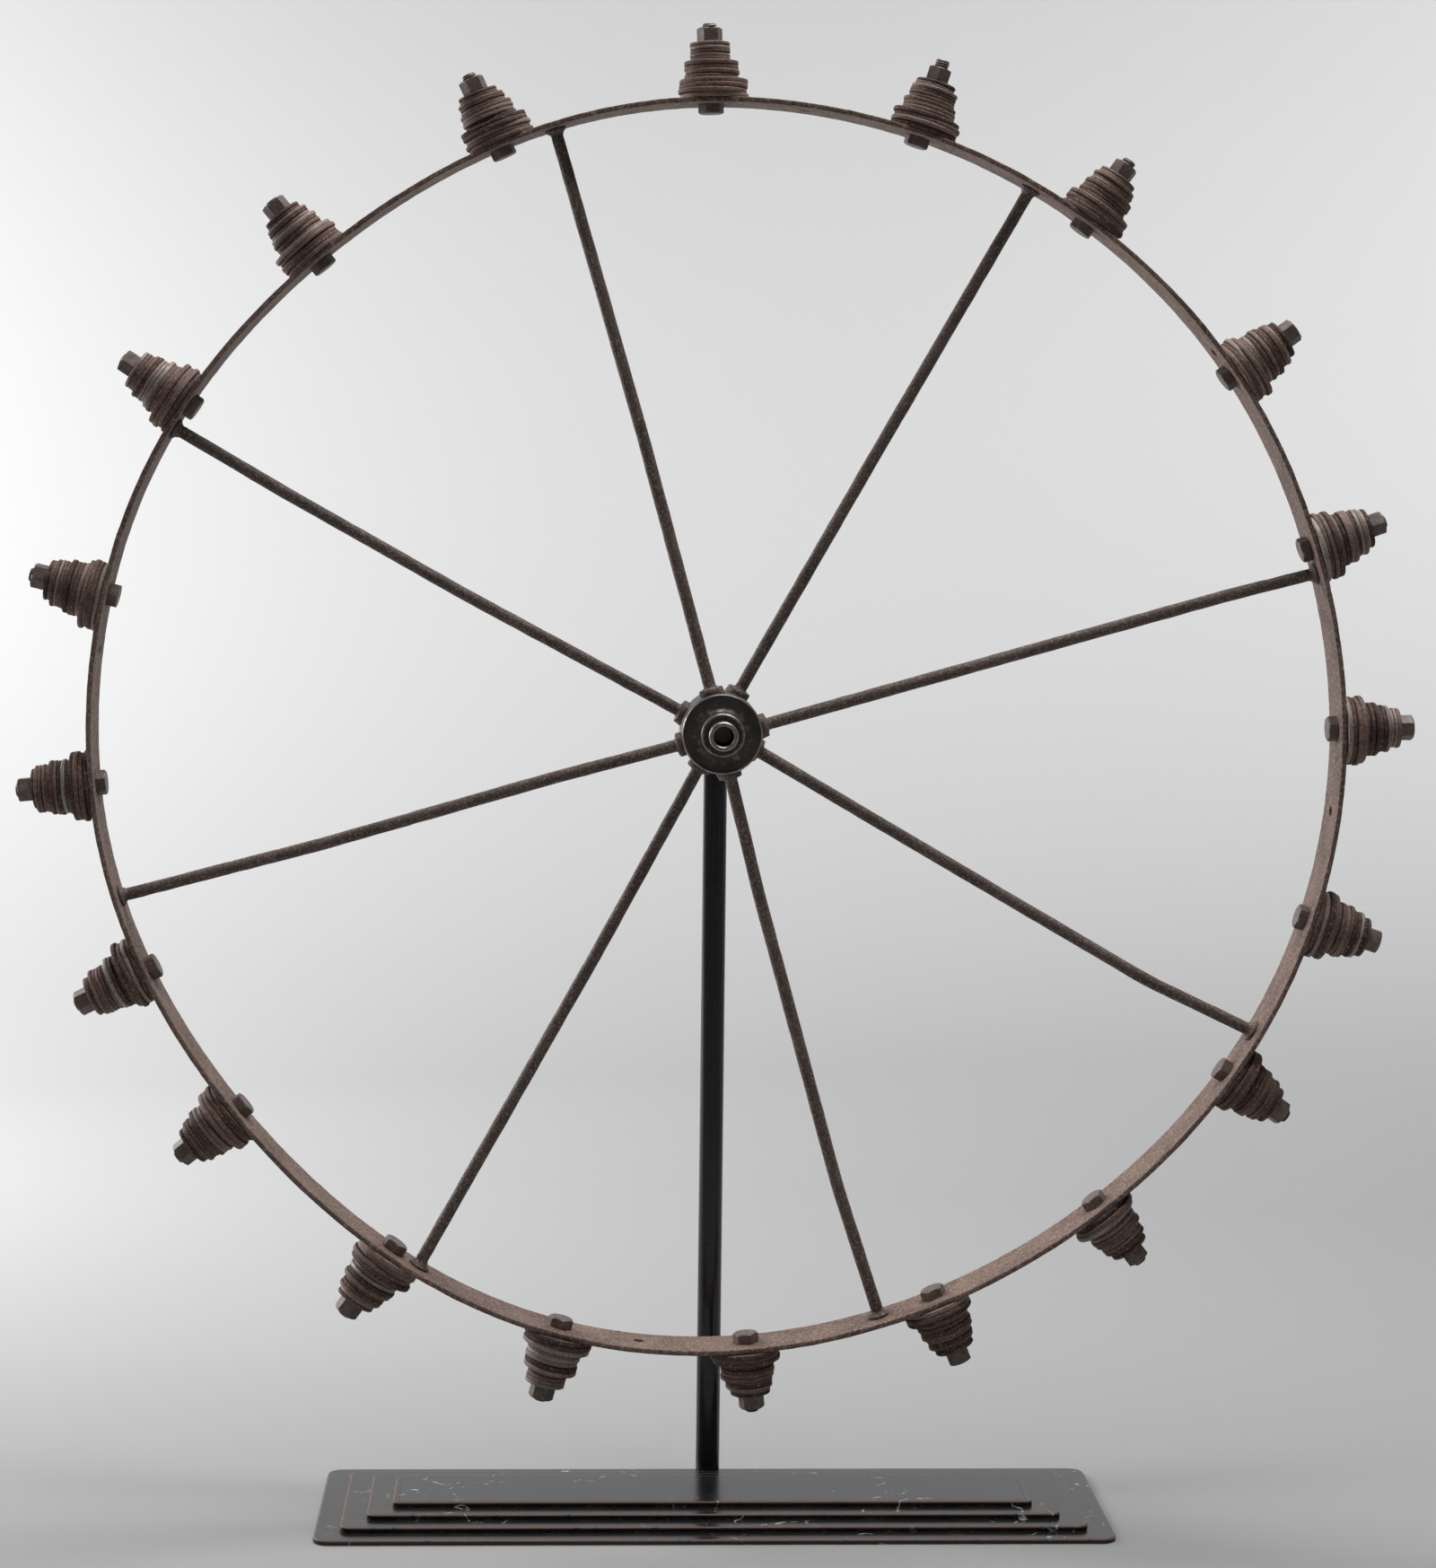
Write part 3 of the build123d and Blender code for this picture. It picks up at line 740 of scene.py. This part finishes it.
# --- spokes ---
SPOKE_NODES = [n for n in sorted(frame["nodes"]) if n.startswith("spoke_")]
ROD_RADIUS = 4.0 * MM
HUB_RADIUS = 26.0 * MM
COLLAR_RADIUS = 8.0 * MM
COLLAR_TOP = HUB_RADIUS + 3.8 * MM
FOOT_RADIUS = 7.0 * MM
FOOT_THICK = 1.8 * MM
FOOT_FLARE = 3.0 * MM
TENON_RADIUS = 3.175 * MM
SPOKE_AROUND = 28
SEAT_GAP = 0.12 * MM  # between a spoke's flat foot and the curved rim


def section_centre(verts, edges, direction, distance):
    """The middle of a node's cross-section at a distance from the axle along a direction."""
    heights = (verts - CENTRE) @ direction - distance
    one, two = heights[edges[:, 0]], heights[edges[:, 1]]
    crossing = one * two < 0
    share = (one[crossing] / (one - two)[crossing])[:, None]
    start, end = verts[edges[crossing, 0]], verts[edges[crossing, 1]]
    cut = start + (end - start) * share
    side = np.cross(AXIS, direction)
    return CENTRE + direction * distance + middle(cut - CENTRE, side, AXIS)


def spoke_frames(node):
    """Points along a spoke's middle, from inside the hub to the rim, and its foot's angle."""
    verts, edges = node_mesh(node)
    reach = np.hypot(verts[:, 0] - CENTRE[0], verts[:, 2] - CENTRE[2])
    foot = verts[reach > reach.max() - 4 * MM]
    angle = atan2(*(middle(foot, [1, 0, 0], [0, 0, 1]) - CENTRE)[[0, 2]])
    direction = outward(angle)
    start = ((verts - CENTRE) @ direction).min() + 0.6 * MM
    foot_at = float(rim_inner(angle)[0]) - FOOT_THICK - FOOT_FLARE - 0.5 * MM
    distances = np.linspace(start, foot_at, 180)
    line = np.array([section_centre(verts, edges, direction, d) for d in distances])
    return line, angle, reach.max()


def frames_along(line):
    """Two directions across the line at each of its points."""
    along = np.gradient(line, axis=0)
    along = along / np.linalg.norm(along, axis=1)[:, None]
    one = np.cross(along, AXIS)
    one = one / np.linalg.norm(one, axis=1)[:, None]
    return one, np.cross(along, one)


def make_spoke(node, number, material):
    line, angle, reach = spoke_frames(node)
    to_axle = np.hypot(line[:, 0] - CENTRE[0], line[:, 2] - CENTRE[2])
    collar = [(HUB_RADIUS - 1.5 * MM, ROD_RADIUS)]
    collar += [(HUB_RADIUS - 1.5 * MM, COLLAR_RADIUS - 0.5 * MM)]
    collar += [(HUB_RADIUS + 0.6 * MM, COLLAR_RADIUS), (COLLAR_TOP - 1.6 * MM, COLLAR_RADIUS)]
    collar += [(COLLAR_TOP - 0.6 * MM, COLLAR_RADIUS - 0.4 * MM)]
    collar += [(COLLAR_TOP, COLLAR_RADIUS - 1.5 * MM)]
    collar += [(COLLAR_TOP + 0.2 * MM, ROD_RADIUS + 0.9 * MM), (COLLAR_TOP + 1.1 * MM, ROD_RADIUS)]
    inside = to_axle < HUB_RADIUS - 2 * MM
    outside = to_axle > COLLAR_TOP + 2 * MM
    stations = [(d, ROD_RADIUS) for d in to_axle[inside][:1]] + collar
    stations += [(d, ROD_RADIUS) for d in to_axle[outside]]
    places, radii = np.array(stations).T
    middles = np.stack([np.interp(places, to_axle, line[:, k]) for k in range(3)], axis=-1)
    one, two = frames_along(line)
    ones = np.stack([np.interp(places, to_axle, one[:, k]) for k in range(3)], axis=-1)
    twos = np.stack([np.interp(places, to_axle, two[:, k]) for k in range(3)], axis=-1)
    normal = rim_normal(angle)
    seat = CENTRE + outward(angle) * float(rim_inner(angle)[0]) - normal * SEAT_GAP
    thick = float(rim_outer(angle)[0] - rim_inner(angle)[0]) + 0.2 * MM
    proud = reach - float(rim_outer(angle)[0]) > 0.5 * MM
    foot = [(-FOOT_THICK - FOOT_FLARE, ROD_RADIUS)]
    foot += [(-FOOT_THICK - 1.2 * MM, 0.6 * (ROD_RADIUS + 4 * MM))]
    foot += [(-FOOT_THICK, FOOT_RADIUS - 0.6 * MM), (-FOOT_THICK + 0.6 * MM, FOOT_RADIUS)]
    foot += [(-0.4 * MM, FOOT_RADIUS), (0.0, FOOT_RADIUS - 0.4 * MM), (0.0, TENON_RADIUS)]
    foot += [(thick, TENON_RADIUS)]
    if proud:
        foot += [(thick, 4.4 * MM), (thick + 0.3 * MM, 4.5 * MM), (thick + 0.8 * MM, 3.6 * MM)]
        foot += [(thick + 1.15 * MM, 2.0 * MM), (thick + 1.2 * MM, 0.2 * MM)]
    else:
        foot += [(thick, 0.2 * MM)]
    foot_heights, foot_radii = np.array(foot).T
    middles = np.concatenate([middles, seat + foot_heights[:, None] * normal])
    side = np.cross(normal, AXIS)
    ones = np.concatenate([ones, np.tile(side, (len(foot), 1))])
    twos = np.concatenate([twos, np.tile(np.cross(normal, side), (len(foot), 1))])
    radii = np.concatenate([radii, foot_radii])
    turns = np.linspace(0, 2 * pi, SPOKE_AROUND, endpoint=False)
    circle = np.cos(turns)[None, :, None] * ones[:, None]
    circle = circle + np.sin(turns)[None, :, None] * twos[:, None]
    surface = middles[:, None] + circle * radii[:, None, None]
    worn = 0.14 * MM * lumps(surface, 9 * MM, number) + 0.08 * MM * lumps(surface, 2.6 * MM, 20)
    surface = surface + circle * (worn * np.minimum(radii / ROD_RADIUS, 1)[:, None])[..., None]
    rod = mesh_object(f"{node}_rod", [(surface, False, 0.0)], sharp=50)
    piece(rod, material, "spoke_iron", WHEEL, node)


# --- hub and bushing ---
HUB_HALF = 25.0 * MM
NOSE_RADIUS = 14.2 * MM
NOSE_FILLET = 4.5 * MM
LIP_WIDTH = 1.4 * MM
HUB_AROUND = 160
BUSHING_BORE = 6.4 * MM  # radius


def wear_and_highlight_tones(rings, places):
    """Tones for rings, one for each profile place: high where the place is worn, and on the hub and
    bushing also where a painted highlight is put.
    """
    return np.repeat(np.asarray(places, float)[:, None], rings.shape[1], axis=1)


def hub_profile(half_length):
    """One end of the hub from its middle out, as (radius, distance from middle, tone for rubbed
    wear and painted highlight).
    """
    face = HUB_HALF
    lip = HUB_RADIUS - LIP_WIDTH
    points = [(HUB_RADIUS, y * face, 0.0) for y in (0.02, 0.2, 0.4, 0.6, 0.8)]
    # The disc's outer edge and lip get high tones: partly rubbed wear, partly a painted highlight
    # along the lip.
    points += [(HUB_RADIUS, face - 1.6 * MM, 0.0), (HUB_RADIUS - 0.2 * MM, face - 0.7 * MM, 0.3)]
    points += [(HUB_RADIUS - 0.6 * MM, face - 0.1 * MM, 0.55), (lip + 0.3 * MM, face, 0.5)]
    points += [(lip, face - 0.25 * MM, 0.1), (lip - 2 * MM, face - 0.35 * MM, 0.0)]
    # The fillet round the nose gets a low tone all round: a painted light ring standing in for
    # light falling on the fillet.
    root = NOSE_RADIUS + NOSE_FILLET
    for turn in np.radians(np.linspace(-90, -180, 7)):
        drop = face + NOSE_FILLET + NOSE_FILLET * sin(turn)
        points.append((root + NOSE_FILLET * cos(turn), drop, 0.16))
    # The nose's front edge gets high tones: partly rubbed wear, partly a painted highlight.
    points += [(NOSE_RADIUS, half_length - 1.4 * MM, 0.1)]
    points += [(NOSE_RADIUS - 0.3 * MM, half_length - 0.6 * MM, 0.5)]
    points += [(NOSE_RADIUS - 1.1 * MM, half_length, 0.4), (11.5 * MM, half_length, 0.0)]
    return points


def make_hub(material):
    low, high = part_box("hub")
    half_length = (high[1] - low[1]) / 2
    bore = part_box("hub_bushing")[1][0] + 0.05 * MM
    end = hub_profile(half_length)
    profile = [(r, -y, t) for r, y, t in end[::-1]] + end
    profile = [(bore, -half_length, 0.0), *profile, (bore, half_length, 0.0)]
    radii, heights, tones = np.array(profile).T
    rings = lathe(radii, heights, HUB_AROUND, CENTRE, AXIS)
    radial = rings - CENTRE
    radial = radial - (radial @ AXIS)[..., None] * AXIS
    inside = (radii > bore + 1 * MM)[:, None]
    rough = (0.12 * MM * lumps(rings, 9 * MM, 31) + 0.03 * MM * lumps(rings, 3 * MM, 32)) * inside
    tone = wear_and_highlight_tones(rings, tones)
    rings = rings + radial / HUB_RADIUS * rough[..., None]
    rings = rings + AXIS * (0.06 * MM * lumps(rings, 8 * MM, 33) * inside)[..., None]
    barrel = mesh_object("hub_casting", [(rings, True, tone)])
    sockets = []
    for node in SPOKE_NODES:
        line, _, _ = spoke_frames(node)
        sockets.append((line[0], unit(line[20] - line[0]), ROD_RADIUS + 0.4 * MM))
    drill_sockets(barrel, sockets)
    piece(barrel, material, "hub_iron", WHEEL, "hub")
    make_bushing(material)


def drill_sockets(barrel, sockets):
    reach = 14 * MM
    start = reach - 0.8 * MM
    drill(barrel, [(at + axis * start, axis, radius, reach) for at, axis, radius in sockets])


def make_bushing(material):
    low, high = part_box("hub_bushing")
    half, outer = (high[1] - low[1]) / 2, high[0]
    inner = BUSHING_BORE
    # The tones brighten the tube's outer and bore chamfers at each end: partly rubbed wear, partly
    # a painted highlight where the chamfers catch the light.
    end = [(outer, 0.3 * half, 0.0), (outer, 0.8 * half, 0.0), (outer, half - 1.4 * MM, 0.1)]
    end += [(outer - 0.2 * MM, half - 0.6 * MM, 0.6), (outer - 0.8 * MM, half - 0.05 * MM, 0.7)]
    end += [((outer + inner) / 2, half, 0.28), (inner + 0.7 * MM, half - 0.1 * MM, 0.7)]
    end += [(inner, half - 0.8 * MM, 0.3), (inner, half - 3 * MM, 0.0), (inner, 0.3 * half, 0.0)]
    profile = end + [(r, -y, t) for r, y, t in end[::-1]]
    radii, heights, tones = np.array(profile).T
    rings = lathe(radii, heights, 96, CENTRE, AXIS)
    tube = mesh_object("bushing_tube", [(rings, True, wear_and_highlight_tones(rings, tones))])
    piece(tube, material, "bushing_steel", WHEEL, "hub_bushing")


# --- stand ---
CORNER_STEPS = 14
POST_ROUNDING = 2.0 * MM
PLATE_EDGE = 1.0 * MM
LEFT_WEAR = (0.25, 0.6, 0.45, 0.4)  # how bare each plate's left end is worn, from the lowest up
LEFT_WEAR_FROM = 0.985  # of the way to that end


def rounded_outline(half_x, half_y, corner, inset):
    """Points round a rectangle with rounded corners, moved in by an inset."""
    points = []
    middles = [(1, 1, 0), (-1, 1, 90), (-1, -1, 180), (1, -1, 270)]
    for x_side, y_side, start in middles:
        for turn in np.radians(np.linspace(start, start + 90, CORNER_STEPS)):
            x = x_side * (half_x - corner) + (corner - inset) * cos(turn)
            y = y_side * (half_y - corner) + (corner - inset) * sin(turn)
            points.append((x, y))
    return subdivided(np.array(points))


def subdivided(outline):
    """The same closed outline with extra points along its long sides."""
    points = []
    for here, after in zip(outline, np.roll(outline, -1, axis=0)):
        steps = 40 if np.linalg.norm(after - here) > 20 * MM else 1
        points += [here + (after - here) * n / steps for n in range(steps)]
    return np.array(points)


def make_plate(number, material):
    node = f"base_plate_{number}"
    low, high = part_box(node)
    verts, _ = node_mesh(node)
    long_side = verts[verts[:, 1] > high[1] - 0.01 * MM]
    corner = high[0] - long_side[:, 0].max()
    levels = [(3 * MM, 0.0, 0.0), (0.25 * MM, 0.0, 0.3), (0.0, 0.25 * MM, 0.5)]
    thick = high[2] - low[2]
    for share in (0.35, 0.7):
        levels.append((0.0, thick * share, 0.2))
    for turn in np.radians([0, 22, 45, 68, 90]):
        inset = PLATE_EDGE * (1 - cos(turn))
        levels.append((inset, thick - PLATE_EDGE * (1 - sin(turn)), 0.62))
    levels += [(1.6 * MM, thick, 0.12), (4 * MM, thick, 0.0), (corner * 0.97, thick, 0.0)]
    rings, tones = [], []
    for inset, height, tone in levels:
        if inset > corner:
            continue
        flat = rounded_outline(high[0], high[1], corner, inset)
        rings.append(np.column_stack([flat, np.full(len(flat), low[2] + height)]))
        tones.append(tone)
    rings = np.array(rings)
    nibble = 0.12 * MM * lumps(rings, 14 * MM, 40 + number) + 0.05 * MM * lumps(rings, 3 * MM, 50)
    level = (np.array(tones) > 0)[:, None]
    outward_flat = rings * [1, 1, 0]
    outward_flat = outward_flat / np.linalg.norm(outward_flat, axis=-1)[..., None]
    rings = rings + outward_flat * (np.minimum(nibble, 0.06 * MM) * level)[..., None]
    left_end = np.clip((-rings[..., 0] / high[0] - LEFT_WEAR_FROM) / (1 - LEFT_WEAR_FROM), 0, 1)
    tone = wear_and_highlight_tones(rings, tones) + LEFT_WEAR[number - 1] * left_end * level
    plate = mesh_object(f"painted_plate_{number}", [(rings, False, tone)])
    piece(plate, material, "stand_paint", STAND, node)


def make_post(material):
    low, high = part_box("post")
    middle_y, radius = (low[1] + high[1]) / 2, (high[0] - low[0]) / 2
    heights = [low[2], *np.linspace(low[2] + 1 * MM, high[2] - POST_ROUNDING, 60)]
    radii = [radius] * len(heights)
    for turn in np.radians([20, 40, 60, 80, 90]):
        heights.append(high[2] - POST_ROUNDING * (1 - sin(turn)))
        radii.append(radius - POST_ROUNDING * (1 - cos(turn)))
    heights.append(high[2])
    radii.append(0.1 * MM)
    foot = np.array([0, middle_y, 0])
    rings = lathe(radii, heights, 72, foot, np.array([0, 0, 1.0]))
    bar = mesh_object("painted_post", [(rings, False, 0.0)])
    piece(bar, material, "stand_paint", STAND, "post")


def make_stand(steel):
    plate_paint = black_paint("plate_paint", 0.2, 0.025 * MM, True)
    for number in range(1, 5):
        make_plate(number, plate_paint)
    make_post(black_paint("post_paint", 0.15, 0.003 * MM, False))
    peg = frame["nodes"]["axle_peg"]
    peg.data.materials.clear()
    peg.data.materials.append(steel)


make_camera()
make_studio()
make_stand(turned_steel())
make_rim(rust("rim_rust", *RIM_RUST, grain=2.0 * MM, depth=0.14 * MM))
spoke_rust = rust("spoke_rust", *SPOKE_RUST, grain=1.5 * MM, depth=0.07 * MM)
for index, spoke_node in enumerate(SPOKE_NODES):
    make_spoke(spoke_node, index, spoke_rust)
make_hub(hub_iron())
make_washers(washer_metal())
make_fasteners(fastener_metal())
